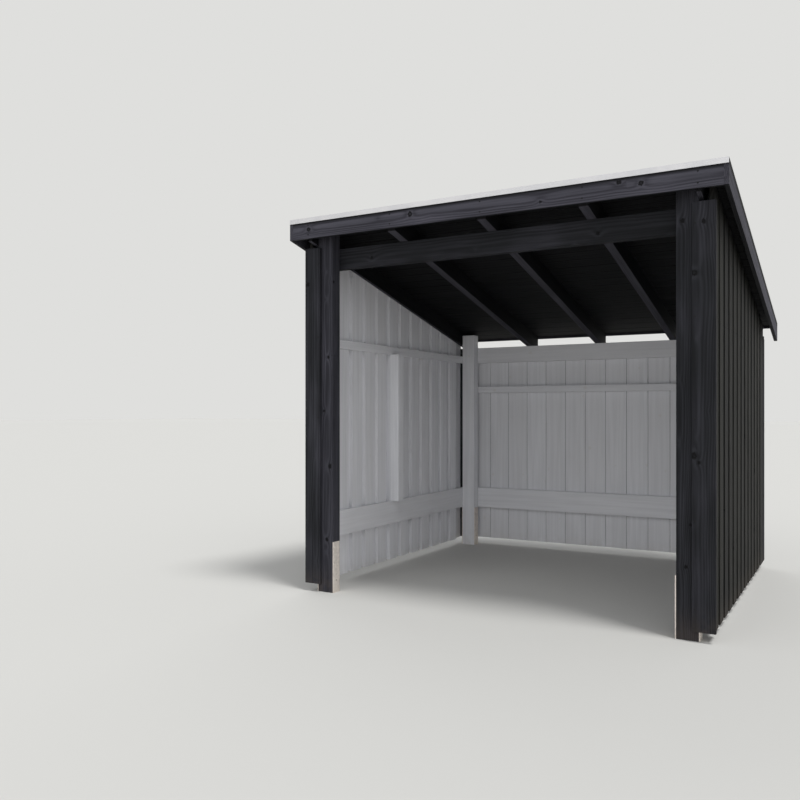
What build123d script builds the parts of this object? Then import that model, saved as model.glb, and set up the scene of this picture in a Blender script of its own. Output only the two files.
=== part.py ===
from build123d import *
from math import cos, floor, radians, tan
import os

# An open-fronted timber bike shelter with a single-pitch roof that falls to the back.
# X runs left to right, Y from front to back, Z up from the ground. Sizes are millimetres.

# Frame
bay_width = 1810            # clear width between the front posts
bay_depth = 1780            # clear depth between the front and the back posts
post_width = 95
post_depth = 75
post_ease = 3               # planed-off corners of the posts and studs
post_top_gap = 6            # daylight between a post's square top and the deck
rail_thickness = 45         # beams, back rails and corner studs
side_rail_thickness = 20    # side rails and the two outer rafters
beam_height = 112
anchor_width = 60           # galvanised plates on both side faces of each post's foot
anchor_thickness = 5
anchor_setback = 3          # plate's front edge behind the post's front
anchor_hole = 11
anchor_hole_height = 65
rafter_height = 95
rafter_thickness = 45
rafter_spacing = 504        # centre to centre, laid out from the left posts' outer face
inner_rafters = 3

# Roof
roof_pitch = 12.8           # degrees
seat_height = 1891          # top of the front beam, where the rafters sit
front_overhang = 80         # fascia's face ahead of the posts
rear_overhang = 68          # roof behind the back boards
side_overhang = 60          # roof beyond the corner boards
deck_thickness = 18
deck_cover = 100            # width that one deck board covers, about
felt_thickness = 4
fascia_thickness = 20
fascia_height = 95
verge_height = 16           # felt-covered batten on top of each side fascia
eaves_height = 27
edge_metal = 2              # sheet of the front drip edge
edge_drop = 25
edge_flange = 40

# Walls
board_thickness = 22
board_width = 98
board_pitch = 145.7         # one board and one gap
board_start = 10            # first outer board behind the front of the posts
board_lap = 60              # cladding carried up the outside of the side rafters
wall_end_gap = 24           # daylight between the last outer board and the back rails
ground_gap = 45             # daylight under the boards
corner_width = 98
corner_thickness = 20
corner_lip = 9              # corner boards stand out past the outer boards
back_cover = 145.2          # width that one back board covers
narrowest_board = 40        # the ripped back board is at least this wide
lap = 9                     # half-lap between neighbouring back or deck boards
joint_gap = 1.2
joint_bevel = 2
lower_rail_bottom = 277
lower_rail_height = 145
upper_rail_drop = 64        # upper rail's top below the top of the back beam
upper_rail_height = 50
middle_rail_drop = 291      # the back's middle rail, measured the same way
middle_rail_height = 45
stud_size = 70
stud_place = 801            # front of the side studs behind the front of the posts

# Places across the shelter, measured outwards from its middle
post_inner = bay_width / 2
post_outer = post_inner + post_width
cladding_face = post_outer + side_rail_thickness
wall_outer = cladding_face + 2 * board_thickness
corner_outer = wall_outer + corner_lip
roof_side = corner_outer + side_overhang
deck_side = roof_side - fascia_thickness

# Places along the shelter, measured backwards from the front of the posts
frame_depth = bay_depth + 2 * post_depth
back_rails = frame_depth + rail_thickness
back_face = back_rails + board_thickness
roof_front = -front_overhang
roof_rear = back_face + rear_overhang
deck_front = roof_front + fascia_thickness
deck_rear = roof_rear - fascia_thickness
front = (edge_metal - roof_front - roof_rear) / 2

# Levels of the roof's layers, square to the slope from the rafters' underside
slope = tan(radians(roof_pitch))
lean = 1 / cos(radians(roof_pitch))
deck_low = rafter_height
deck_top = deck_low + deck_thickness
felt_top = deck_top + felt_thickness
fascia_top = felt_top - verge_height
fascia_low = fascia_top - fascia_height


def roof_z(y, rise=0):
    """Height of the rafters' underside at a place along the shelter, plus a square rise."""
    return seat_height + (post_depth - y) * slope + rise * lean


def both(inner, outer):
    """The same stretch across on the left and on the right of the middle, by side name."""
    return {"left": (-outer, -inner), "right": (inner, outer)}


def add_timber(x, y, z, ease=0):
    """Adds a square-cut timber between low and high X, Y and Z."""
    with BuildSketch(Plane.XY.offset(z[0])) as section:
        with Locations((sum(x) / 2, front + sum(y) / 2)):
            Rectangle(x[1] - x[0], y[1] - y[0])
        if ease:
            chamfer(section.vertices(), ease)
    extrude(section.sketch, amount=z[1] - z[0])


def add_profile(x, outline):
    """Adds a piece between low and high X that has a side outline of (y, z) points."""
    with BuildSketch(Plane.YZ.offset(x[0])) as section:
        with BuildLine():
            Polyline([(front + y, z) for y, z in outline], close=True)
        make_face()
    extrude(section.sketch, amount=x[1] - x[0])


def sloped(y, rise):
    """Side outline of a layer of the roof, with its two ends cut upright."""
    return [
        (y[0], roof_z(y[0], rise[0])),
        (y[1], roof_z(y[1], rise[0])),
        (y[1], roof_z(y[1], rise[1])),
        (y[0], roof_z(y[0], rise[1])),
    ]


def lapped(along, through, first, last):
    """Outline of a half-lapped board with bevelled joints on its inner face."""
    start = along[0] + joint_gap / 2
    end = along[1] - joint_gap / 2
    inner, outer = through
    middle = (inner + outer) / 2
    outline = [(start + joint_bevel, inner), (end - joint_bevel, inner), (end, inner + joint_bevel)]
    if last:
        outline += [(end, outer)]
    else:
        lip = middle - joint_gap / 2
        outline += [(end, lip), (end - lap, lip), (end - lap, outer)]
    if first:
        outline += [(start, outer)]
    else:
        lip = middle + joint_gap / 2
        outline += [(start - lap, outer), (start - lap, lip), (start, lip)]
    return outline + [(start, inner + joint_bevel)]


def save(piece, label):
    """Names a finished piece and writes it to its own file."""
    piece.part.label = label
    export_step(piece.part, f"parts/{label}.step")


def save_timber(label, x, y, z, ease=0):
    """Makes and writes a piece that is one square-cut timber."""
    with BuildPart() as piece:
        add_timber(x, y, z, ease)
    save(piece, label)


def save_profile(label, x, outline):
    """Makes and writes a piece that is one side outline carried across."""
    with BuildPart() as piece:
        add_profile(x, outline)
    save(piece, label)


os.makedirs("parts", exist_ok=True)

# Posts, square-cut just under the deck
post_tops = {
    "front": ((0, post_depth), roof_z(post_depth, deck_low) - post_top_gap),
    "back": ((frame_depth - post_depth, frame_depth), roof_z(frame_depth, deck_low) - post_top_gap),
}
for end, (y, top) in post_tops.items():
    for side, x in both(post_inner, post_outer).items():
        save_timber(f"{end}_{side}_post", x, y, (0, top), post_ease)

# Anchor plates on the inner and the outer face of each post's foot, with one spare bolt hole.
# They reach up to the lower rails.
anchor_height = lower_rail_bottom
anchor_faces = (
    both(post_inner - anchor_thickness, post_inner),
    both(post_outer, post_outer + anchor_thickness),
)
for end, (y, top) in post_tops.items():
    plate_middle = front + y[0] + anchor_setback + anchor_width / 2
    for side in ("left", "right"):
        with BuildPart() as anchor:
            for face in anchor_faces:
                with BuildSketch(Plane.YZ.offset(face[side][0])):
                    with Locations((plate_middle, anchor_height / 2)):
                        Rectangle(anchor_width, anchor_height)
                    with Locations((plate_middle, anchor_hole_height)):
                        Circle(anchor_hole / 2, mode=Mode.SUBTRACT)
                extrude(amount=anchor_thickness)
        save(anchor, f"{end}_{side}_anchor")

# Beams that carry the rafters: one behind the front posts, one on the back of the back posts
back_seat = roof_z(frame_depth)
front_beam_span = (-cladding_face, cladding_face)
front_beam_y = (post_depth, post_depth + rail_thickness)
save_timber("front_beam", front_beam_span, front_beam_y, (seat_height - beam_height, seat_height))
wall_span = (-wall_outer, wall_outer)
back_rail_y = (frame_depth, back_rails)
back_beam_bottom = back_seat - beam_height
save_timber("back_beam", wall_span, back_rail_y, (back_beam_bottom, back_seat))

# Rafters with a birdsmouth over each beam; the thin outer two lie on the posts' outer faces
rafter_outline = [(deck_front, roof_z(deck_front))]
for seat_front, seat_back in (front_beam_y, back_rail_y):
    seat = roof_z(seat_front)
    rafter_outline += [(seat_front, seat), (seat_back, seat), (seat_back, roof_z(seat_back))]
rafter_outline += [
    (deck_rear, roof_z(deck_rear)),
    (deck_rear, roof_z(deck_rear, rafter_height)),
    (deck_front, roof_z(deck_front, rafter_height)),
]
outer_rafters = both(post_outer, cladding_face)
rafters = [outer_rafters["left"]]
for number in range(1, inner_rafters + 1):
    middle = rafter_spacing * number - post_outer
    rafters.append((middle - rafter_thickness / 2, middle + rafter_thickness / 2))
rafters.append(outer_rafters["right"])
for number, x in enumerate(rafters, 1):
    save_profile(f"rafter_{number}", x, rafter_outline)

# Deck of half-lapped boards that run across the rafters
deck_span = (-deck_side, deck_side)
deck_length = deck_rear - deck_front
deck_boards = max(2, round(deck_length / deck_cover))
deck_step = deck_length / deck_boards
with BuildPart() as roof_deck:
    for number in range(deck_boards):
        along = (deck_front + number * deck_step, deck_front + (number + 1) * deck_step)
        board = lapped(along, (deck_low, deck_top), number == 0, number == deck_boards - 1)
        add_profile(deck_span, [(y, roof_z(y, rise)) for y, rise in board])
save(roof_deck, "roof_deck")

# Felt on the deck, and felt-covered battens along both verges
felt_front = roof_front + edge_flange
save_profile("roof_felt", deck_span, sloped((felt_front, roof_rear), (deck_top, felt_top)))
roof_length = (roof_front, roof_rear)
for side, x in both(deck_side, roof_side).items():
    save_profile(f"{side}_fascia", x, sloped(roof_length, (fascia_low, fascia_top)))
    save_profile(f"{side}_verge", x, sloped(roof_length, (fascia_top, felt_top)))

# Front fascia, level with the lower corners of the side ones, and the board at the eaves
front_fascia_z = (roof_z(roof_front, fascia_low), roof_z(deck_front, deck_top))
save_timber("front_fascia", deck_span, (roof_front, deck_front), front_fascia_z)
eaves_top = roof_z(roof_rear, deck_top)
save_timber("eaves_board", deck_span, (deck_rear, roof_rear), (eaves_top - eaves_height, eaves_top))

# Folded metal drip edge: a face that hangs before the roof's layers, a flange on the deck
edge_face = roof_front - edge_metal
edge_top = roof_z(roof_front, felt_top)
edge_outline = [
    (edge_face, edge_top - edge_drop),
    (roof_front, edge_top - edge_drop),
    (roof_front, edge_top),
    (edge_face, edge_top),
]
with BuildPart() as front_drip_edge:
    add_profile((-roof_side, roof_side), edge_outline)
    add_profile(deck_span, sloped((edge_face, felt_front), (deck_top, deck_top + edge_metal)))
save(front_drip_edge, "front_drip_edge")

# Side walls: rails on the outside of the posts, a stud between them, boards over boards
upper_rail_z = (back_seat - upper_rail_drop - upper_rail_height, back_seat - upper_rail_drop)
lower_rail_z = (lower_rail_bottom, lower_rail_bottom + lower_rail_height)
stud_z = (lower_rail_z[1], upper_rail_z[0])
for side, x in both(post_outer, cladding_face).items():
    save_timber(f"{side}_upper_rail", x, (0, frame_depth), upper_rail_z)
    save_timber(f"{side}_lower_rail", x, (0, frame_depth), lower_rail_z)
for side, x in both(cladding_face - stud_size, cladding_face).items():
    save_timber(f"{side}_stud", x, (stud_place, stud_place + stud_size), stud_z, post_ease)
wall_end = frame_depth - wall_end_gap
outer_boards = floor((wall_end - board_start - board_width) / board_pitch) + 1
outer_starts = [board_start + number * board_pitch for number in range(outer_boards)]
outer_ends = [start + board_width for start in outer_starts[:-1]] + [wall_end]
inner_starts = [start + board_pitch / 2 for start in outer_starts[:-1]]
inner_ends = [start + board_width for start in inner_starts]
layers = {
    "inner": (cladding_face, list(zip(inner_starts, inner_ends))),
    "outer": (cladding_face + board_thickness, list(zip(outer_starts, outer_ends))),
}
for layer, (layer_face, boards_y) in layers.items():
    for side, x in both(layer_face, layer_face + board_thickness).items():
        with BuildPart() as boards:
            for y0, y1 in boards_y:
                top = [(y1, roof_z(y1, board_lap)), (y0, roof_z(y0, board_lap))]
                add_profile(x, [(y0, ground_gap), (y1, ground_gap)] + top)
        save(boards, f"{side}_{layer}_boards")

# Corner boards cover the front ends of the side walls, corner studs close the back ones
for side, x in both(corner_outer - corner_width, corner_outer).items():
    save_timber(f"{side}_corner_board", x, (-corner_thickness, 0), (ground_gap, seat_height))
for side, x in both(post_outer, wall_outer).items():
    save_timber(f"{side}_corner_stud", x, back_rail_y, (ground_gap, back_beam_bottom))

# Back wall: rails between the corner studs, half-lapped boards laid from the right
post_span = (-post_outer, post_outer)
middle_rail_z = (back_seat - middle_rail_drop - middle_rail_height, back_seat - middle_rail_drop)
save_timber("back_middle_rail", post_span, back_rail_y, middle_rail_z)
save_timber("back_lower_rail", post_span, back_rail_y, lower_rail_z)
whole_boards = floor((2 * wall_outer - narrowest_board) / back_cover)
joints = [wall_outer - number * back_cover for number in range(whole_boards + 1)]
joints.append(-wall_outer)
with BuildPart() as back_boards:
    for number in range(whole_boards + 1):
        along = (joints[number + 1], joints[number])
        board = lapped(along, (back_rails, back_face), number == whole_boards, number == 0)
        with BuildSketch(Plane.XY.offset(ground_gap)):
            with BuildLine():
                Polyline([(x, front + y) for x, y in board], close=True)
            make_face()
        extrude(amount=roof_z(back_face) - joint_gap - ground_gap)
save(back_boards, "back_boards")
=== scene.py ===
from math import cos, pi, radians, sin, tan

import bpy
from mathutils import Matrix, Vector, noise


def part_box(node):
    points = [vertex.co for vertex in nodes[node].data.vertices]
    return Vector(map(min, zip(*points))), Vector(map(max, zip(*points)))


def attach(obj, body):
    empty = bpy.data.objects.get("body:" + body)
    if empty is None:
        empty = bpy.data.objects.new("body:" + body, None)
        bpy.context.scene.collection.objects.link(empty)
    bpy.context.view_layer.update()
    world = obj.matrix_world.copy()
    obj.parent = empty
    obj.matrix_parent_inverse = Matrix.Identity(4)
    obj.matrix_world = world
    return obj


# An open-fronted timber bike shelter: black stained outside, painted white inside.
# Everything is in metres, with X to the right, Y to the back and Z up.

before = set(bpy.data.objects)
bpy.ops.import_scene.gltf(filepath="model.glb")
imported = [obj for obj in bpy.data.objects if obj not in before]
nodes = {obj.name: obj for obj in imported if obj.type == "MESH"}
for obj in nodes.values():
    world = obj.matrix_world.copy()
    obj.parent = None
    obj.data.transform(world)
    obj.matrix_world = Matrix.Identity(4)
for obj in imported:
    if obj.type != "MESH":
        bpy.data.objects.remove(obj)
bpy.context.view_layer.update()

# Sizes shared with the model
roof_pitch = radians(12.8)
rafters = range(1, 6)
board_width = 0.098
board_thickness = 0.022
board_pitch = 0.1457        # one side board and one gap
side_boards = 13            # outer boards on one side, with one inner board fewer
back_board_count = 15
back_cover = 0.1452         # width that one back board covers
post_outer = 1.0005         # just outside the posts' outer faces, from the middle
bay_middle = 0.0153         # halfway from the first inner boards to the back beam
bay_reach = 0.9222          # from bay_middle to either of them
verge_outer = 1.1325        # just inside the verges' outer faces, from the middle

up = Vector((0, 0, 1))
across = Vector((1, 0, 0))
back = Vector((0, 1, 0))
downhill = Vector((0, cos(roof_pitch), -sin(roof_pitch)))
roof_normal = Vector((0, sin(roof_pitch), cos(roof_pitch)))


def colour(hex_code):
    """Linear colour with alpha from an sRGB hex value."""
    parts = [int(hex_code[i:i + 2], 16) / 255 for i in (1, 3, 5)]
    return tuple(c / 12.92 if c <= 0.04045 else ((c + 0.055) / 1.055) ** 2.4 for c in parts) + (1,)


def add(tree, kind, inputs=(), **settings):
    """Adds a node to a tree. Its inputs come in order or by name. Each is a value, the output that
    feeds it, or a node, whose first output in use is meant."""
    node = tree.nodes.new(kind)
    for name, value in settings.items():
        setattr(node, name, value)
    for name, value in (inputs if isinstance(inputs, dict) else dict(enumerate(inputs))).items():
        socket = node.inputs[name]
        if isinstance(name, str):
            socket = next(one for one in node.inputs if one.enabled and one.name == name)
        if isinstance(value, bpy.types.Node):
            value = next(one for one in value.outputs if one.enabled)
        if isinstance(value, bpy.types.NodeSocket):
            tree.links.new(value, socket)
        else:
            socket.default_value = value
    return node


# The camera stands where the photograph was taken from, level, about a metre up

camera_place = (1.618, -4.663, 0.988)
camera_heading = radians(29.74)
frame_side = 800
focal_pixels = 812.65
horizon_drop = 12.2         # pixels that the horizon lies under the picture's middle

lens = bpy.data.cameras.new("camera")
lens.sensor_width = 36
lens.lens = focal_pixels / frame_side * lens.sensor_width
lens.shift_y = horizon_drop / frame_side
camera = bpy.data.objects.new("camera", lens)
camera.location = camera_place
camera.rotation_euler = (radians(90), 0, camera_heading)
bpy.context.scene.collection.objects.link(camera)
bpy.context.scene.camera = camera


# Light: a high key from the right, broad weak lamps from the front and the back, a pale sky

def far_lamp(name, towards, width, strength):
    """A lamp too far away to fade, seen in a direction and this many degrees wide."""
    data = bpy.data.lights.new(name, "SUN")
    data.angle = radians(width)
    data.energy = strength
    lamp = bpy.data.objects.new(name, data)
    lamp.location = Vector(towards) * 8
    lamp.rotation_euler = Vector(towards).to_track_quat("Z", "Y").to_euler()
    bpy.context.scene.collection.objects.link(lamp)


far_lamp("key", (0.40, -0.11, 0.91), 16, 2.0)
far_lamp("front", (0.30, -0.90, 0.20), 110, 1.35)
far_lamp("rear", (-0.50, 0.75, 0.43), 60, 0.8)


def seen_rays(tree):
    """1 for rays from the camera, a mirror or glass, which show the background, and else 0."""
    path = add(tree, "ShaderNodeLightPath").outputs
    shown = add(tree, "ShaderNodeMath", (path["Is Camera Ray"], path["Is Glossy Ray"]),
                operation="MAXIMUM")
    return add(tree, "ShaderNodeMath", (shown, path["Is Transmission Ray"]), operation="MAXIMUM")


world = bpy.data.worlds.new("pale_studio")
world.use_nodes = True
sky = world.node_tree
sky.nodes.clear()
lit = add(sky, "ShaderNodeBackground", {"Color": colour("#F2F5FA"), "Strength": 0.46})
shown = add(sky, "ShaderNodeBackground", {"Color": colour("#DFDFDD"), "Strength": 1.0})
add(sky, "ShaderNodeOutputWorld", (add(sky, "ShaderNodeMixShader", (seen_rays(sky), lit, shown)),))
bpy.context.scene.world = world
bpy.context.scene.view_settings.view_transform = "Standard"


def new_material(name):
    """An empty node material, its tree, and the place on the piece that its patterns go by."""
    material = bpy.data.materials.new(name)
    material.use_nodes = True
    tree = material.node_tree
    tree.nodes.clear()
    return material, tree, add(tree, "ShaderNodeTexCoord").outputs["Object"]


def finish_material(material, shader):
    """Joins a shader to its material's output."""
    add(material.node_tree, "ShaderNodeOutputMaterial", (shader,))
    return material


def coated(tree, ground, *coats):
    """A ground colour under coats of other colours: where each lies, how strongly, and its colour,
    as a hex value or worked out by nodes."""
    for cover, strength, shade in coats:
        amount = add(tree, "ShaderNodeMath", (cover, strength), operation="MULTIPLY")
        over = colour(shade) if isinstance(shade, str) else shade
        ground = add(tree, "ShaderNodeMix", {"Factor": amount, "A": ground, "B": over},
                     data_type="RGBA")
    return ground


# Floor

def studio_floor():
    """A pale plain floor that keeps shadows. The colour that is seen and the one that throws light
    back on the shelter are set apart."""
    mesh = bpy.data.meshes.new("floor")
    reach = 90
    corners = [(-reach, -reach, 0), (reach, -reach, 0), (reach, reach, 0), (-reach, reach, 0)]
    mesh.from_pydata(corners, [], [(0, 1, 2, 3)])
    floor = bpy.data.objects.new("floor", mesh)
    bpy.context.scene.collection.objects.link(floor)
    material, tree, place = new_material("pale_studio_floor")
    seen = add(tree, "ShaderNodeBsdfDiffuse", {"Color": colour("#CAC9C5")})
    bounce = add(tree, "ShaderNodeBsdfDiffuse", {"Color": colour("#D2CFCA")})
    blend = add(tree, "ShaderNodeMixShader", (seen_rays(tree), bounce, seen))
    mesh.materials.append(finish_material(material, blend))


studio_floor()


# Timber: each board carries its own grain

def grain_tree(two_sided):
    """Geometry nodes that join a CAD node's loose triangles and mark each board for the materials.

    grain holds the place along, across and through the board from its middle, board three random
    numbers for each board, cut_end is 1 on the sawn ends, then one number holds sunlight bleaching
    mixed with painted light and shade, with more painted light or shade on undersides, and the last
    one holds the place across the board from which a shadow of an edge above is painted on."""
    tree = bpy.data.node_groups.new("boards_and_grain", "GeometryNodeTree")
    face = tree.interface
    for name, kind in (
        ("Geometry", "Geometry"), ("Along", "Vector"), ("Across", "Vector"),
        ("Painted side", "Vector"), ("Painted from", "Float"), ("Painted within", "Float"),
        ("Bleach and painted light", "Float"), ("Painted light below", "Float"), ("Painted shadow from", "Float"), ("Seed", "Int"),
        ("Finish", "Material"), ("Inside finish", "Material"),
    ):
        face.new_socket(name, in_out="INPUT", socket_type="NodeSocket" + kind)
    face.new_socket("Geometry", in_out="OUTPUT", socket_type="NodeSocketGeometry")
    given = add(tree, "NodeGroupInput").outputs

    joined = add(tree, "GeometryNodeMergeByDistance",
                 {"Geometry": given["Geometry"], "Distance": 1e-5})
    plain = add(tree, "GeometryNodeRemoveAttribute", {"Geometry": joined, "Name": "custom_normal"})
    shape = add(tree, "GeometryNodeSetShadeSmooth", {"Geometry": plain, "Shade Smooth": False})
    island = add(tree, "GeometryNodeInputMeshIsland").outputs["Island Index"]
    place = add(tree, "GeometryNodeInputPosition")
    spread = add(tree, "GeometryNodeAccumulateField", {"Value": place, "Group ID": island},
                 data_type="FLOAT_VECTOR", domain="POINT")
    count = add(tree, "GeometryNodeAccumulateField", {"Value": 1.0, "Group ID": island},
                data_type="FLOAT", domain="POINT")
    share = add(tree, "ShaderNodeMath", (1.0, count.outputs["Total"]), operation="DIVIDE")
    middle = add(tree, "ShaderNodeVectorMath", {0: spread.outputs["Total"], "Scale": share},
                 operation="SCALE")
    local = add(tree, "ShaderNodeVectorMath", (place, middle), operation="SUBTRACT")
    through = add(tree, "ShaderNodeVectorMath", (given["Along"], given["Across"]),
                  operation="CROSS_PRODUCT")
    parts = [add(tree, "ShaderNodeVectorMath", (local, direction), operation="DOT_PRODUCT")
             for direction in (given["Along"], given["Across"], through)]
    grain = add(tree, "ShaderNodeCombineXYZ", parts)
    random = add(tree, "FunctionNodeRandomValue", {"ID": island, "Seed": given["Seed"]},
                 data_type="FLOAT_VECTOR")
    facing = add(tree, "GeometryNodeInputNormal").outputs[0]
    nearly = 0.7            # cosine from which a face counts as a board's end or underside
    end = add(tree, "ShaderNodeVectorMath", (facing, given["Along"]), operation="DOT_PRODUCT")
    square = add(tree, "ShaderNodeMath", (end,), operation="ABSOLUTE")
    is_end = add(tree, "ShaderNodeMath", (square, nearly), operation="GREATER_THAN")
    lift = add(tree, "ShaderNodeSeparateXYZ", (facing,)).outputs["Z"]
    is_under = add(tree, "ShaderNodeMath", (lift, -nearly), operation="LESS_THAN")
    bleach_and_painted_light = add(tree, "ShaderNodeMath", (is_under, given["Painted light below"], given["Bleach and painted light"]),
                operation="MULTIPLY_ADD")
    for name, data_type, domain, value in (
        ("grain", "FLOAT_VECTOR", "POINT", grain), ("board", "FLOAT_VECTOR", "POINT", random),
        ("cut_end", "FLOAT", "FACE", is_end), ("bleach_and_painted_light", "FLOAT", "FACE", bleach_and_painted_light),
        ("painted_shadow_from", "FLOAT", "POINT", given["Painted shadow from"]),
    ):
        shape = add(tree, "GeometryNodeStoreNamedAttribute",
                    {"Geometry": shape, "Name": name, "Value": value},
                    data_type=data_type, domain=domain)
    shape = add(tree, "GeometryNodeSetMaterial", {"Geometry": shape, "Material": given["Finish"]})
    if two_sided:
        side = add(tree, "ShaderNodeVectorMath", (facing, given["Painted side"]),
                   operation="DOT_PRODUCT")
        turned = add(tree, "ShaderNodeMath", (side, given["Painted from"]),
                     operation="GREATER_THAN")
        sideways = add(tree, "ShaderNodeSeparateXYZ", (place,)).outputs["X"]
        offset = add(tree, "ShaderNodeMath", (sideways,), operation="ABSOLUTE")
        inner = add(tree, "ShaderNodeMath", (offset, given["Painted within"]),
                    operation="LESS_THAN")
        painted = add(tree, "ShaderNodeMath", (turned, inner), operation="MULTIPLY")
        shape = add(tree, "GeometryNodeSetMaterial",
                    {"Geometry": shape, "Selection": painted, "Material": given["Inside finish"]})
    add(tree, "NodeGroupOutput", (shape,))
    return tree


def spruce(tree, place, spots=()):
    """The figure of sawn spruce: soft streaks, growth rings, fibres and knots, as outputs by name.
    Besides its chance knots it has some at given spots, each with a radius."""
    grain = add(tree, "ShaderNodeAttribute", attribute_name="grain").outputs["Vector"]
    board = add(tree, "ShaderNodeAttribute", attribute_name="board").outputs["Vector"]
    end = add(tree, "ShaderNodeAttribute", attribute_name="cut_end").outputs["Fac"]
    moved = add(tree, "ShaderNodeVectorMath", (board, (7, 3, 5), grain), operation="MULTIPLY_ADD")

    def marks(along, side, detail):
        """Noise whose marks are about this long along the board and this wide across it."""
        scaled = add(tree, "ShaderNodeVectorMath", (moved, (1 / along, 1 / side, 1 / side)),
                     operation="MULTIPLY")
        return add(tree, "ShaderNodeTexNoise", {"Vector": scaled, "Scale": 1, "Detail": detail,
                                                "Roughness": 0.55})

    # Knots go right through a board, about one to each metre of it, up to 22 mm across, longer by a
    # quarter along the board and a little ragged. Inside is the way from a knot's rim towards its
    # heart.
    knot_room = (0.34, 0.085)       # along and across the board, for each chance of a knot
    plan = add(tree, "ShaderNodeVectorMath", (moved, (1 / knot_room[0], 1 / knot_room[1], 0)),
               operation="MULTIPLY")
    cell = add(tree, "ShaderNodeTexVoronoi", {"Vector": plan, "Scale": 1, "Randomness": 0.9},
               voronoi_dimensions="2D").outputs
    off = add(tree, "ShaderNodeVectorMath", (plan, cell["Position"]), operation="SUBTRACT")
    real = add(tree, "ShaderNodeVectorMath", (off, (knot_room[0] * 0.8, knot_room[1], 0)),
               operation="MULTIPLY")
    centre = add(tree, "ShaderNodeVectorMath", (real,), operation="LENGTH")
    rag = add(tree, "ShaderNodeTexNoise", {"Vector": moved, "Scale": 140, "Detail": 2})
    luck = add(tree, "ShaderNodeSeparateColor", (cell["Color"],))
    # Seven chances in ten get a radius under 0, and come to nothing
    radius = add(tree, "ShaderNodeMapRange", (luck, 0.40, 1, -0.012, 0.011))
    inside = add(tree, "ShaderNodeMath", (radius, centre), operation="SUBTRACT")
    for spot, size in spots:
        away = add(tree, "ShaderNodeVectorMath", (place, spot), operation="DISTANCE")
        within = add(tree, "ShaderNodeMath", (size, away), operation="SUBTRACT")
        inside = add(tree, "ShaderNodeMath", (inside, within), operation="MAXIMUM")
    # The rim is 5 mm soft and wavers by some millimetres. The heart begins 8 mm further in.
    ragged = add(tree, "ShaderNodeMath", (rag, -0.014, inside), operation="MULTIPLY_ADD")
    disc = add(tree, "ShaderNodeMapRange", (ragged, -0.010, -0.005),
               interpolation_type="SMOOTHSTEP")
    heart = add(tree, "ShaderNodeMapRange", (ragged, -0.002, 0.003),
                interpolation_type="SMOOTHSTEP")
    # The rings' swelling is 12 mm where inside is 12 mm, and fades to a third over 1/60 m
    power = add(tree, "ShaderNodeMath", (inside, 60, -60 * 0.012), operation="MULTIPLY_ADD")
    nearness = add(tree, "ShaderNodeMath", (power,), operation="EXPONENT")
    swell = add(tree, "ShaderNodeMath", (nearness, 0.012), operation="MULTIPLY")

    # Growth rings round a pith that lies beside and behind the board, bent round the knots
    beside = add(tree, "ShaderNodeVectorMath", (board, (0, -0.12, 0.09), (0, 0.03, 0.025)),
                 operation="MULTIPLY_ADD")
    placed = add(tree, "ShaderNodeVectorMath", (grain, beside), operation="ADD")
    drift = marks(0.9, 0.25, 2).outputs["Color"]
    wander = add(tree, "ShaderNodeVectorMath", (drift, (0, 0.06, 0), placed),
                 operation="MULTIPLY_ADD")
    section = add(tree, "ShaderNodeVectorMath", (wander, (0, 1, 1)), operation="MULTIPLY")
    distance = add(tree, "ShaderNodeVectorMath", (section,), operation="LENGTH")
    ring_step = 0.0065      # two or three real rings drawn as one, so that they show
    bent = add(tree, "ShaderNodeMath", (swell, 1.1, distance), operation="MULTIPLY_ADD")
    turns = add(tree, "ShaderNodeMath", (bent, 2 * pi / ring_step), operation="MULTIPLY")
    wave = add(tree, "ShaderNodeMath", (turns,), operation="SINE")
    return {
        "grain": grain,
        "rings": add(tree, "ShaderNodeMath", (wave, 0.5, 0.5), operation="MULTIPLY_ADD"),
        "streaks": marks(0.55, 0.022, 3),
        "fibres": marks(0.16, 0.005, 3),
        "patches": marks(0.5, 0.2, 2),
        "knot": add(tree, "ShaderNodeMath", (heart, -0.35, disc), operation="MULTIPLY_ADD"),
        "end": end,
        "tone": add(tree, "ShaderNodeSeparateXYZ", (board,)).outputs["Z"],
    }


def splashed(tree, place, reach):
    """Dust that rain throws up on timber near the ground, thinning out over this height."""
    height = add(tree, "ShaderNodeSeparateXYZ", (place,)).outputs["Z"]
    cloud = add(tree, "ShaderNodeTexNoise", {"Vector": place, "Scale": 22, "Detail": 4})
    level = add(tree, "ShaderNodeMath", (cloud, reach * 0.5, height), operation="MULTIPLY_ADD")
    low = add(tree, "ShaderNodeMapRange", (level, reach, 0.0), interpolation_type="SMOOTHSTEP")
    uneven = add(tree, "ShaderNodeMapRange", (cloud, 0.25, 0.65), interpolation_type="SMOOTHSTEP")
    return add(tree, "ShaderNodeMath", (low, uneven), operation="MULTIPLY")


def sawn_relief(tree, wood, rings, fibres, knots, depth):
    """The saw's furrows, the harder rings and the knots as a bump this many metres deep."""
    ringed = add(tree, "ShaderNodeMath", (wood["rings"], rings), operation="MULTIPLY")
    furrowed = add(tree, "ShaderNodeMath", (wood["fibres"], fibres, ringed),
                   operation="MULTIPLY_ADD")
    height = add(tree, "ShaderNodeMath", (wood["knot"], -knots, furrowed), operation="MULTIPLY_ADD")
    return add(tree, "ShaderNodeBump", {"Height": height, "Strength": 1.0, "Distance": depth})


# Large knots that show on the front of the frame: place and radius
front_knots = (
    ((-0.376, -1.072, 1.990), 0.013), ((0.774, -1.072, 1.985), 0.011),
    ((-0.698, -0.917, 1.826), 0.008), ((0.540, -0.917, 1.823), 0.008),
    ((0.932, -0.992, 1.820), 0.009), ((0.984, -1.012, 1.586), 0.012),
    ((1.004, -1.012, 0.771), 0.007), ((0.967, -0.992, 0.501), 0.006),
    ((0.947, -0.992, 0.318), 0.007), ((-0.931, -0.992, 1.290), 0.007),
    ((-0.941, -0.992, 0.290), 0.009), ((-0.905, -0.980, 1.701), 0.008),
)


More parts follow.
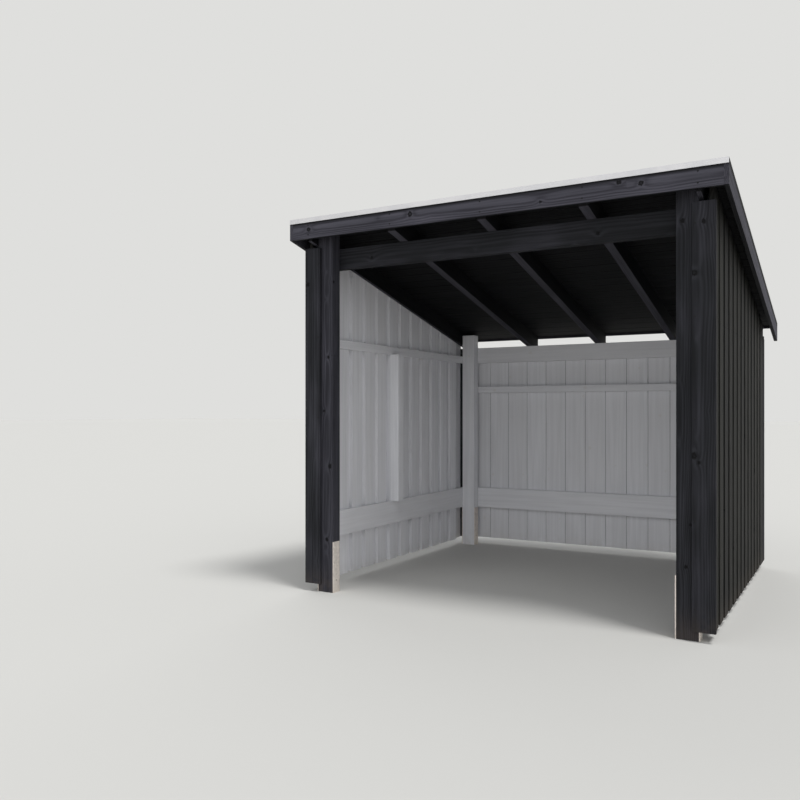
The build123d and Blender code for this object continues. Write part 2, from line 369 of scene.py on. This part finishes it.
def stained_timber(name, black, bleached):
    """Rough-sawn spruce under a black water-borne stain: matt, with the grain standing in soft
    streaks, darker on knots and bleached grey by sunlight. Painted light and shade lie over it:
    some pieces and faces painted paler where light falls on them, others near black where shade
    falls, and a shadow of an edge above painted as a black band. Black and bleached are each two
    colours, of the hollows and of the streaks."""
    material, tree, place = new_material(name)
    wood = spruce(tree, place, front_knots)
    streaked = add(tree, "ShaderNodeMath", (wood["streaks"], 0.6), operation="MULTIPLY")
    ringed = add(tree, "ShaderNodeMath", (wood["rings"], 0.18, streaked), operation="MULTIPLY_ADD")
    figure = add(tree, "ShaderNodeMath", (wood["fibres"], 0.4, ringed), operation="MULTIPLY_ADD")
    strong = add(tree, "ShaderNodeMapRange", (figure, 0.35, 0.85), interpolation_type="SMOOTHSTEP")
    fresh = coated(tree, colour(black[0]), (strong, 1.0, black[1]))
    grey = coated(tree, colour(bleached[0]), (strong, 1.0, bleached[1]))
    # Sunlight bleaching mixed with painted light and shade: above 0 painted paler, part real
    # bleaching and part painted light; below 0 painted shade
    sunlight_and_painted_light = add(tree, "ShaderNodeAttribute", attribute_name="bleach_and_painted_light").outputs["Fac"]
    patchy = add(tree, "ShaderNodeMapRange", (wood["patches"], 0.45, 0.75),
                 interpolation_type="SMOOTHSTEP")
    # Real patchy wear, with the paler painting added to it, part of which is painted light
    worn = add(tree, "ShaderNodeMath", (patchy, 0.25, sunlight_and_painted_light),
               operation="MULTIPLY_ADD", use_clamp=True)
    # Painted shade: near black where the number is below 0
    shaded = add(tree, "ShaderNodeMath", (sunlight_and_painted_light, -1), operation="MULTIPLY", use_clamp=True)
    # Where a shadow of the edge above is painted on, measured across the board
    line = add(tree, "ShaderNodeAttribute", attribute_name="painted_shadow_from").outputs["Fac"]
    across_board = add(tree, "ShaderNodeSeparateXYZ", (wood["grain"],)).outputs["Y"]
    past_line = add(tree, "ShaderNodeMath", (across_board, line), operation="SUBTRACT")
    # The painted shadow begins 22 mm before the line and is full 3 mm before it
    painted_edge_shadow = add(tree, "ShaderNodeMapRange", (past_line, -0.022, -0.003),
                  interpolation_type="SMOOTHSTEP")
    # The coats: random tone, end grain, paler painting, painted shade, a painted shadow under an
    # edge, splashed dust, knots
    base = coated(tree, fresh, (wood["tone"], 0.5, "#1B1C1E"), (wood["end"], 0.4, "#2B2A2E"),
                  (worn, 1.0, grey), (shaded, 1.0, "#050506"),
                  (painted_edge_shadow, 0.9, "#0C0C0E"), (splashed(tree, place, 0.24), 0.45, "#5A5048"),
                  (wood["knot"], 0.9, "#080809"))
    rough = add(tree, "ShaderNodeMapRange",
                {"Value": wood["fibres"], "To Min": 0.6, "To Max": 0.85})
    return finish_material(material, add(tree, "ShaderNodeBsdfPrincipled", {
        "Base Color": base, "Roughness": rough, "Specular IOR Level": 0.12,
        "Normal": sawn_relief(tree, wood, 0.35, 0.65, 0.5, 0.0016)}))


def painted_timber():
    """The same spruce under white outdoor paint: matt, with the saw's texture still to be seen,
    and knots that bleed through a little yellow. Past the posts' outer faces, before the bay's
    front and behind its back, the same faces took the stain."""
    material, tree, place = new_material("white_painted_spruce")
    wood = spruce(tree, place)
    thick = add(tree, "ShaderNodeMapRange", (wood["streaks"], 0.3, 0.7),
                interpolation_type="SMOOTHSTEP")
    soiled = add(tree, "ShaderNodeMapRange", (wood["patches"], 0.5, 0.8),
                 interpolation_type="SMOOTHSTEP")
    centred = add(tree, "ShaderNodeVectorMath", (place, (0, bay_middle, 0)), operation="SUBTRACT")
    reach = add(tree, "ShaderNodeVectorMath", (centred,), operation="ABSOLUTE")
    far = add(tree, "ShaderNodeSeparateXYZ", (reach,)).outputs
    beside = add(tree, "ShaderNodeMath", (far["X"], post_outer), operation="GREATER_THAN")
    beyond = add(tree, "ShaderNodeMath", (far["Y"], bay_reach), operation="GREATER_THAN")
    outside = add(tree, "ShaderNodeMath", (beside, beyond), operation="MULTIPLY")
    base = coated(tree, colour("#E0E1E5"), (thick, 1.0, "#EBECF0"), (wood["tone"], 0.4, "#DEDEE1"),
                  (wood["knot"], 0.2, "#CDC7BA"), (soiled, 0.12, "#C0BFBC"),
                  (splashed(tree, place, 0.2), 0.35, "#A39A8D"), (outside, 1.0, "#1B1C1F"))
    rough = add(tree, "ShaderNodeMapRange", {"Value": wood["fibres"], "To Min": 0.5, "To Max": 0.7})
    return finish_material(material, add(tree, "ShaderNodeBsdfPrincipled", {
        "Base Color": base, "Roughness": rough,
        "Normal": sawn_relief(tree, wood, 0.3, 0.7, 0.4, 0.0005)}))


stain = stained_timber("black_stained_sawn_spruce", ("#151619", "#323338"), ("#3A3941", "#5A5963"))
# The side walls' boards take a warmer copy of the stain: a painted tint for warm light thrown back
# on them
stain_tinted_for_warm_light = stained_timber("black_stain_tinted_for_warm_light",
                        ("#161614", "#333330"), ("#3B3A38", "#5C5B57"))
paint = painted_timber()
boards_and_grain = {two_sided: grain_tree(two_sided) for two_sided in (False, True)}


def run_nodes(piece, name, tree, values):
    """Gives a piece a geometry nodes modifier, with the values of its inputs by name."""
    modifier = piece.modifiers.new(name, "NODES")
    modifier.node_group = tree
    for item in tree.interface.items_tree:
        if item.in_out == "INPUT" and item.name in values:
            modifier[item.identifier] = values[item.name]


def dress_timber(name, along, wide, finish, inside=None, painted_side=None, painted_from=0.3,
                 painted_within=10.0, bleach_and_painted_light=0.0, painted_light_below=0.0, painted_shadow_from=10.0, ease=0.0015):
    """Gives a CAD node its grain, its finish and eased edges. A face takes the inside finish where
    it points more towards the painted side than painted_from, which is the cosine of the angle, and
    lies within painted_within of the shelter's middle.
    Bleaching by sunlight, mixed with painted light and shade, is 0 for the stain as it is, up to 1
    painted paler, part real bleaching and part painted light, and below 0 painted shade. The amount
    for undersides is added to it on faces that point down, as painted light or painted shade. From
    a little before the shadow's line, measured across the board from its middle, a shadow of the
    edge above is painted on."""
    node = nodes[name]
    node.data.materials.clear()
    node.data.materials.append(finish)
    run_nodes(node, "boards_and_grain", boards_and_grain[inside is not None], {
        "Along": along, "Across": wide, "Seed": sum(map(ord, name)), "Finish": finish,
        "Inside finish": inside or finish, "Painted side": painted_side or along,
        "Painted from": painted_from, "Painted within": painted_within, "Bleach and painted light": bleach_and_painted_light,
        "Painted light below": painted_light_below, "Painted shadow from": painted_shadow_from})
    edges = node.modifiers.new("eased_edges", "BEVEL")
    edges.width = ease
    edges.segments = 2
    edges.limit_method = "ANGLE"
    edges.angle_limit = radians(35)


# Where the edge over a fascia ends, above the fascia's middle, and from where a shadow of it is
# painted on the fascia
felt_edge_rise = 0.047
drip_edge_rise = 0.036

for side, inward in (("left", across), ("right", -across)):
    # The left front post is painted paler than the right: painted light
    dress_timber(f"front_{side}_post", up, across, stain, bleach_and_painted_light=0.35 if side == "left" else 0.0)
    dress_timber(f"back_{side}_post", up, across, paint)
    dress_timber(f"{side}_upper_rail", back, up, paint)
    dress_timber(f"{side}_lower_rail", back, up, paint)
    dress_timber(f"{side}_stud", up, back, paint)
    dress_timber(f"{side}_inner_boards", up, back, stain_tinted_for_warm_light, paint, inward, painted_from=-0.3)
    # The outer boards are painted a little darker: painted shade
    dress_timber(f"{side}_outer_boards", up, back, stain_tinted_for_warm_light, paint, inward, bleach_and_painted_light=-0.2)
    dress_timber(f"{side}_corner_board", up, across, stain)
    dress_timber(f"{side}_corner_stud", up, across, stain)
    # The side fascias are painted paler, part real bleaching and part painted light, their
    # undersides painted dark as painted shade, and a shadow of the felt's edge painted on them
    dress_timber(f"{side}_fascia", downhill, roof_normal, stain, bleach_and_painted_light=0.6, painted_light_below=-1.1,
                 painted_shadow_from=felt_edge_rise)
# The rafters' sides are painted darker, painted shade, and their undersides paler, painted light
for number in rafters:
    dress_timber(f"rafter_{number}", downhill, roof_normal, stain, bleach_and_painted_light=-0.7, painted_light_below=1.15)
dress_timber("front_beam", across, up, stain)
# The eaves board is painted paler, part real bleaching and part painted light
dress_timber("eaves_board", across, up, stain, bleach_and_painted_light=0.5)
# The front fascia likewise, with painted shade underneath and a shadow of the drip edge painted on
dress_timber("front_fascia", across, up, stain, bleach_and_painted_light=0.6, painted_light_below=-1.1,
             painted_shadow_from=drip_edge_rise)
for name in ("back_middle_rail", "back_lower_rail"):
    dress_timber(name, across, up, paint)
dress_timber("back_beam", across, up, stain, paint, Vector((0, -1, -0.5)))
# The roof deck is painted near black: painted shade
dress_timber("roof_deck", across, downhill, stain, bleach_and_painted_light=-0.85, ease=0.0004)
dress_timber("back_boards", up, across, stain, paint, -back, painted_within=1.055, ease=0.0006)


def slated_felt():
    """Black bitumen felt with a coat of slate granules: matt, with a fine sparkle of grey, washed
    paler in runs down the slope, and bare black where it is turned down over the verges."""
    material, tree, place = new_material("slated_bitumen_felt")
    granule = 0.004         # real ones are 1 to 2 mm, drawn coarser so that they show
    granules = add(tree, "ShaderNodeTexVoronoi",
                   {"Vector": place, "Scale": 1 / granule, "Randomness": 1}).outputs
    grey = add(tree, "ShaderNodeSeparateColor", (granules["Color"],))
    worn = add(tree, "ShaderNodeTexNoise", {"Vector": place, "Scale": 3.5, "Detail": 4})
    washed = add(tree, "ShaderNodeVectorMath", (place, (9, 0.9, 0.9)), operation="MULTIPLY")
    runs = add(tree, "ShaderNodeTexNoise", {"Vector": washed, "Scale": 1, "Detail": 3})
    light = add(tree, "ShaderNodeMapRange", (grey, 0.2, 1.0), interpolation_type="SMOOTHSTEP")
    bald = add(tree, "ShaderNodeMapRange", (worn, 0.4, 0.75), interpolation_type="SMOOTHSTEP")
    pale = add(tree, "ShaderNodeMapRange", (runs, 0.5, 0.8), interpolation_type="SMOOTHSTEP")
    reach = add(tree, "ShaderNodeVectorMath", (place,), operation="ABSOLUTE")
    beside = add(tree, "ShaderNodeSeparateXYZ", (reach,)).outputs["X"]
    turned = add(tree, "ShaderNodeMath", (beside, verge_outer), operation="GREATER_THAN")
    base = coated(tree, colour("#1B1B1D"), (light, 1.0, "#48484B"), (bald, 0.35, "#565551"),
                  (pale, 0.22, "#77746C"), (turned, 0.95, "#060606"))
    bump = add(tree, "ShaderNodeBump",
               {"Height": granules["Distance"], "Strength": 1.0, "Distance": 0.0012})
    return finish_material(material, add(tree, "ShaderNodeBsdfPrincipled", {
        "Base Color": base, "Roughness": 0.88, "Specular IOR Level": 0.3, "Normal": bump}))


def weathered_aluminium():
    """Folded aluminium sheet as it comes from the mill, dulled by rain to a soft pale grey."""
    material, tree, place = new_material("weathered_mill_aluminium")
    rolled = add(tree, "ShaderNodeVectorMath", (place, (2, 60, 60)), operation="MULTIPLY")
    streak = add(tree, "ShaderNodeTexNoise", {"Vector": rolled, "Scale": 1, "Detail": 3})
    cloud = add(tree, "ShaderNodeTexNoise", {"Vector": place, "Scale": 9, "Detail": 3})
    dulled = add(tree, "ShaderNodeMapRange", (cloud, 0.35, 0.7), interpolation_type="SMOOTHSTEP")
    base = coated(tree, colour("#CDCDD0"), (dulled, 1.0, "#D7D6D8"))
    rough = add(tree, "ShaderNodeMapRange", {"Value": streak, "To Min": 0.45, "To Max": 0.62})
    bump = add(tree, "ShaderNodeBump", {"Height": streak, "Strength": 1.0, "Distance": 0.0001})
    return finish_material(material, add(tree, "ShaderNodeBsdfPrincipled", {
        "Base Color": base, "Metallic": 0.6, "Roughness": rough, "Normal": bump}))


def galvanised_steel(name, ground, crystal, chalky):
    """Steel dipped in molten zinc: a dull pale grey with crystals in it, chalky in places, and
    dusty near the ground."""
    material, tree, place = new_material(name)
    crystal_size = 0.012
    bent = add(tree, "ShaderNodeTexNoise",
               {"Vector": place, "Scale": 60, "Detail": 2}).outputs["Color"]
    shifted = add(tree, "ShaderNodeVectorMath", (bent, (crystal_size / 2,) * 3, place),
                  operation="MULTIPLY_ADD")
    spangle = add(tree, "ShaderNodeTexVoronoi",
                  {"Vector": shifted, "Scale": 1 / crystal_size, "Randomness": 1})
    leaf = add(tree, "ShaderNodeSeparateColor", (spangle.outputs["Color"],)).outputs
    chalk = add(tree, "ShaderNodeTexNoise", {"Vector": place, "Scale": 25, "Detail": 4})
    bloom = add(tree, "ShaderNodeMapRange", (chalk, 0.4, 0.7), interpolation_type="SMOOTHSTEP")
    base = coated(tree, colour(ground), (leaf[0], 1.0, crystal), (bloom, 0.5, chalky),
                  (splashed(tree, place, 0.12), 0.35, "#9A8E7D"))
    rough = add(tree, "ShaderNodeMapRange", {"Value": leaf[1], "To Min": 0.45, "To Max": 0.65})
    bump = add(tree, "ShaderNodeBump", {"Height": chalk, "Strength": 1.0, "Distance": 0.0002})
    return finish_material(material, add(tree, "ShaderNodeBsdfPrincipled", {
        "Base Color": base, "Metallic": 0.4, "Roughness": rough, "Normal": bump}))


def stained_over_steel():
    """A screw's steel head that went over with the wall's stain: near black, a little smoother."""
    material, tree, place = new_material("stained_over_screw_steel")
    rubbed = add(tree, "ShaderNodeTexNoise", {"Vector": place, "Scale": 260, "Detail": 2})
    bright = add(tree, "ShaderNodeMapRange", (rubbed, 0.5, 0.72), interpolation_type="SMOOTHSTEP")
    base = coated(tree, colour("#121213"), (bright, 1.0, "#242427"))
    bump = add(tree, "ShaderNodeBump", {"Height": rubbed, "Strength": 1.0, "Distance": 0.0001})
    return finish_material(material, add(tree, "ShaderNodeBsdfPrincipled", {
        "Base Color": base, "Roughness": 0.55, "Specular IOR Level": 0.2, "Normal": bump}))


felt = slated_felt()
zinc = galvanised_steel("hot_dip_galvanised_steel", "#D2CAC2", "#E8E0D8", "#EDE5DC")
old_zinc = galvanised_steel("weathered_galvanised_nails", "#7E7D7B", "#969593", "#A3A19D")
for finish, names in (
    (felt, ("roof_felt", "left_verge", "right_verge")),
    (zinc, ("front_left_anchor", "front_right_anchor", "back_left_anchor", "back_right_anchor")),
    (weathered_aluminium(), ("front_drip_edge",)),
):
    for name in names:
        nodes[name].data.materials.clear()
        nodes[name].data.materials.append(finish)


# Screws and nails, set by rows of points that know which way their heads face

def heads_tree():
    """Geometry nodes that put a screw's or nail's head on every point of a mesh."""
    crown_share = 0.8       # of the head's radius, at its top
    tree = bpy.data.node_groups.new("heads_on_points", "GeometryNodeTree")
    face = tree.interface
    for name, kind in (
        ("Geometry", "Geometry"), ("Head radius", "Float"), ("Head height", "Float"),
        ("Recess radius", "Float"), ("Recess depth", "Float"), ("Finish", "Material"),
    ):
        face.new_socket(name, in_out="INPUT", socket_type="NodeSocket" + kind)
    face.new_socket("Geometry", in_out="OUTPUT", socket_type="NodeSocketGeometry")
    given = add(tree, "NodeGroupInput").outputs
    disc = add(tree, "GeometryNodeMeshCircle", {"Vertices": 12, "Radius": given["Head radius"]},
               fill_type="NGON")
    upward = add(tree, "ShaderNodeCombineXYZ", {"Z": given["Head height"]})
    body = add(tree, "GeometryNodeExtrudeMesh",
               {"Mesh": disc, "Offset": upward, "Offset Scale": 1.0})
    crown = add(tree, "GeometryNodeScaleElements",
                {"Geometry": body, "Selection": body.outputs["Top"], "Scale": crown_share})
    rim = add(tree, "GeometryNodeExtrudeMesh",
              {"Mesh": crown, "Selection": body.outputs["Top"], "Offset Scale": 0.0})
    crown_radius = add(tree, "ShaderNodeMath", (given["Head radius"], crown_share),
                       operation="MULTIPLY")
    narrow = add(tree, "ShaderNodeMath", (given["Recess radius"], crown_radius), operation="DIVIDE")
    mouth = add(tree, "GeometryNodeScaleElements",
                {"Geometry": rim, "Selection": rim.outputs["Top"], "Scale": narrow})
    depth = add(tree, "ShaderNodeMath", (given["Recess depth"], -1), operation="MULTIPLY")
    downward = add(tree, "ShaderNodeCombineXYZ", {"Z": depth})
    recess = add(tree, "GeometryNodeExtrudeMesh",
                 {"Mesh": mouth, "Selection": rim.outputs["Top"], "Offset": downward,
                  "Offset Scale": 1.0})
    facing = add(tree, "GeometryNodeInputNamedAttribute", {"Name": "facing"},
                 data_type="FLOAT_VECTOR")
    turned = add(tree, "FunctionNodeAlignRotationToVector", {"Vector": facing}, axis="Z")
    angle = add(tree, "FunctionNodeRandomValue", {"Min": 0.0, "Max": pi, "Seed": 7},
                data_type="FLOAT")
    spin = add(tree, "FunctionNodeAxisAngleToRotation", {"Axis": up, "Angle": angle})
    placed = add(tree, "FunctionNodeRotateRotation", (turned, spin), rotation_space="LOCAL")
    points = add(tree, "GeometryNodeMeshToPoints", {"Mesh": given["Geometry"]})
    heads = add(tree, "GeometryNodeInstanceOnPoints",
                {"Points": points, "Instance": recess, "Rotation": placed})
    real = add(tree, "GeometryNodeRealizeInstances", {"Geometry": heads})
    flat = add(tree, "GeometryNodeSetShadeSmooth", {"Geometry": real, "Shade Smooth": False})
    done = add(tree, "GeometryNodeSetMaterial", {"Geometry": flat, "Material": given["Finish"]})
    add(tree, "NodeGroupOutput", (done,))
    return tree


heads_on_points = heads_tree()


def drive_heads(name, rows, finish, radius, height, recess_radius, recess_depth):
    """Makes one piece of all the screw or nail heads in some rows of (place, facing)."""
    mesh = bpy.data.meshes.new(name)
    mesh.from_pydata([place for place, facing in rows], [], [])
    facings = mesh.attributes.new("facing", "FLOAT_VECTOR", "POINT")
    for number, (place, facing) in enumerate(rows):
        facings.data[number].vector = facing
    source = bpy.data.objects.new(name + "_rows", mesh)
    bpy.context.scene.collection.objects.link(source)
    run_nodes(source, "heads_on_points", heads_on_points, {
        "Head radius": radius, "Head height": height, "Recess radius": recess_radius,
        "Recess depth": recess_depth, "Finish": finish})
    seen = source.evaluated_get(bpy.context.evaluated_depsgraph_get())
    heads = bpy.data.objects.new(name, bpy.data.meshes.new_from_object(seen))
    bpy.data.objects.remove(source)
    bpy.context.scene.collection.objects.link(heads)
    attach(heads, "root")


def middle_of(name):
    """The middle of a CAD node's box."""
    low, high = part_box(name)
    return (low + high) / 2


def roof_height(y, rise):
    """Height over a place along the shelter of a layer this far above the felt's upper face."""
    low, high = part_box("roof_felt")
    return high.z - (y - low.y) * tan(roof_pitch) + rise / cos(roof_pitch)


screw_inset = 0.012                 # from the edge of a board on the walls
felt_to_rafter_bottom = 0.117       # square to the roof
top_row_rise = 0.030                # of the walls' top row, over the rafters' undersides
corner_rows = (0.14, 0.52, 0.96, 1.40, 1.80)
fascia_rows = (0.022, 0.072)        # above the front fascia's lower edge
back_screw_reach = 0.045            # from a back board's middle to either of its screws
ripped_screw_reach = 0.025          # the same on the last one, which is ripped narrower

screw_rows = []
wall_rows = [middle_of("left_lower_rail").z, middle_of("left_upper_rail").z]
for side, outward in (("left", -across), ("right", across)):
    low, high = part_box(f"{side}_outer_boards")
    face_x = low.x if side == "left" else high.x
    inner_x = middle_of(f"{side}_inner_boards").x + outward.x * board_thickness / 2
    for number in range(side_boards):
        start = low.y + number * board_pitch
        end = high.y if number == side_boards - 1 else start + board_width
        for y in (start + screw_inset, end - screw_inset):
            for z in wall_rows + [roof_height(y, top_row_rise - felt_to_rafter_bottom)]:
                screw_rows.append(((face_x, y, z), outward))
        if number < side_boards - 1:
            y = start + (board_width + board_pitch) / 2
            for z in wall_rows:
                screw_rows.append(((inner_x, y, z), outward))
    low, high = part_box(f"{side}_corner_board")
    inner_edge = high.x if side == "left" else low.x
    for z in corner_rows:
        screw_rows.append(((inner_edge + outward.x * screw_inset, low.y, z), -back))
low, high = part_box("front_fascia")
for number in rafters:
    for rise in fascia_rows:
        screw_rows.append(((middle_of(f"rafter_{number}").x, low.y, low.z + rise), -back))
low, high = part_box("back_boards")
back_rows = [middle_of(name).z for name in ("back_beam", "back_middle_rail", "back_lower_rail")]
for number in range(back_board_count):
    x = high.x - (number + 0.5) * back_cover
    reach = back_screw_reach
    if x < low.x + back_cover / 2:
        x = (low.x + high.x - number * back_cover) / 2
        reach = ripped_screw_reach
    for z in back_rows:
        for shift in (-reach, reach):
            screw_rows.append(((x + shift, high.y, z), back))
drive_heads("wall_screws", screw_rows, stained_over_steel(),
            radius=0.0042, height=0.0009, recess_radius=0.0018, recess_depth=0.0007)

# Four small screws through each anchor's inner plate
anchor_rows = (0.150, 0.245)
anchor_inset = 0.016                # from the plate's edges
plate_rows = []
for end in ("front", "back"):
    for side, inward in (("left", across), ("right", -across)):
        low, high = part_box(f"{end}_{side}_anchor")
        face_x = high.x if side == "left" else low.x
        for z in anchor_rows:
            for y in (low.y + anchor_inset, high.y - anchor_inset):
                plate_rows.append(((face_x, y, z), inward))
drive_heads("anchor_screws", plate_rows, zinc,
            radius=0.0055, height=0.0012, recess_radius=0.0022, recess_depth=0.0009)


# Felt: two strips overlap the ones below them, held with broad-headed nails

def felt_laps():
    """The lower edges of the upper strips of felt, a little wavy, dressed down on the strip below.
    Gives back the rows of their nails."""
    low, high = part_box("roof_felt")
    lap_places = (0.34, 0.72)       # down the roof, as shares of its length
    steps = 160                     # along a lap
    # Profile across a lap: distance uphill from its edge, and height over the felt
    profile = ((0.0, -0.001), (-0.0005, 0.0024), (0.002, 0.0034),
               (0.030, 0.0032), (0.09, 0.0026), (0.16, -0.001))
    nail_count = 28
    nail_margin = 0.04              # from the felt's sides to the first and last nail
    nail_uphill = 0.018             # from the lap's edge
    nail_rise = 0.0036              # over the felt
    points, faces, lap_rows = [], [], []
    for lap, edge in enumerate(lap_places):
        edge_y = low.y + (high.y - low.y) * edge
        first = len(points)
        for number in range(steps + 1):
            x = low.x + (high.x - low.x) * number / steps
            wave = (0.0035 * noise.noise((x * 3.1, lap * 9.0, 0))
                    + 0.001 * noise.noise((x * 21, lap * 5.0, 3)))
            for uphill, rise in profile:
                y = edge_y + wave - uphill
                ripple = 0.0012 * abs(noise.noise((x * 6.0, lap * 4.0, 7))) if 0 < rise else 0
                points.append((x, y, roof_height(y, rise + ripple)))
        wide = len(profile)
        for number in range(steps):
            for part in range(wide - 1):
                corner = first + number * wide + part
                faces.append((corner, corner + 1, corner + 1 + wide, corner + wide))
        for end in (0, steps):
            ring = [first + end * wide + part for part in range(wide)]
            faces.append(ring if end == 0 else ring[::-1])
        for number in range(nail_count):
            run = (high.x - low.x - 2 * nail_margin) * number / (nail_count - 1)
            x = low.x + nail_margin + run
            y = edge_y - nail_uphill
            lap_rows.append(((x, y, roof_height(y, nail_rise)), roof_normal))
    mesh = bpy.data.meshes.new("felt_laps")
    mesh.from_pydata(points, [], faces)
    mesh.materials.append(felt)
    laps = bpy.data.objects.new("felt_laps", mesh)
    bpy.context.scene.collection.objects.link(laps)
    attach(laps, "root")
    return lap_rows


nail_rows = felt_laps()
verge_nails = 18
verge_ends = (0.02, 0.03)           # from the verge's front and back to its first and last nail
low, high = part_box("roof_felt")
for side in ("left", "right"):
    x = middle_of(f"{side}_verge").x
    for number in range(verge_nails):
        run = (high.y - low.y - sum(verge_ends)) * number / (verge_nails - 1)
        y = low.y + verge_ends[0] + run
        nail_rows.append(((x, y, roof_height(y, 0.0)), roof_normal))
drive_heads("felt_nails", nail_rows, old_zinc,
            radius=0.005, height=0.0008, recess_radius=0.002, recess_depth=0.0001)
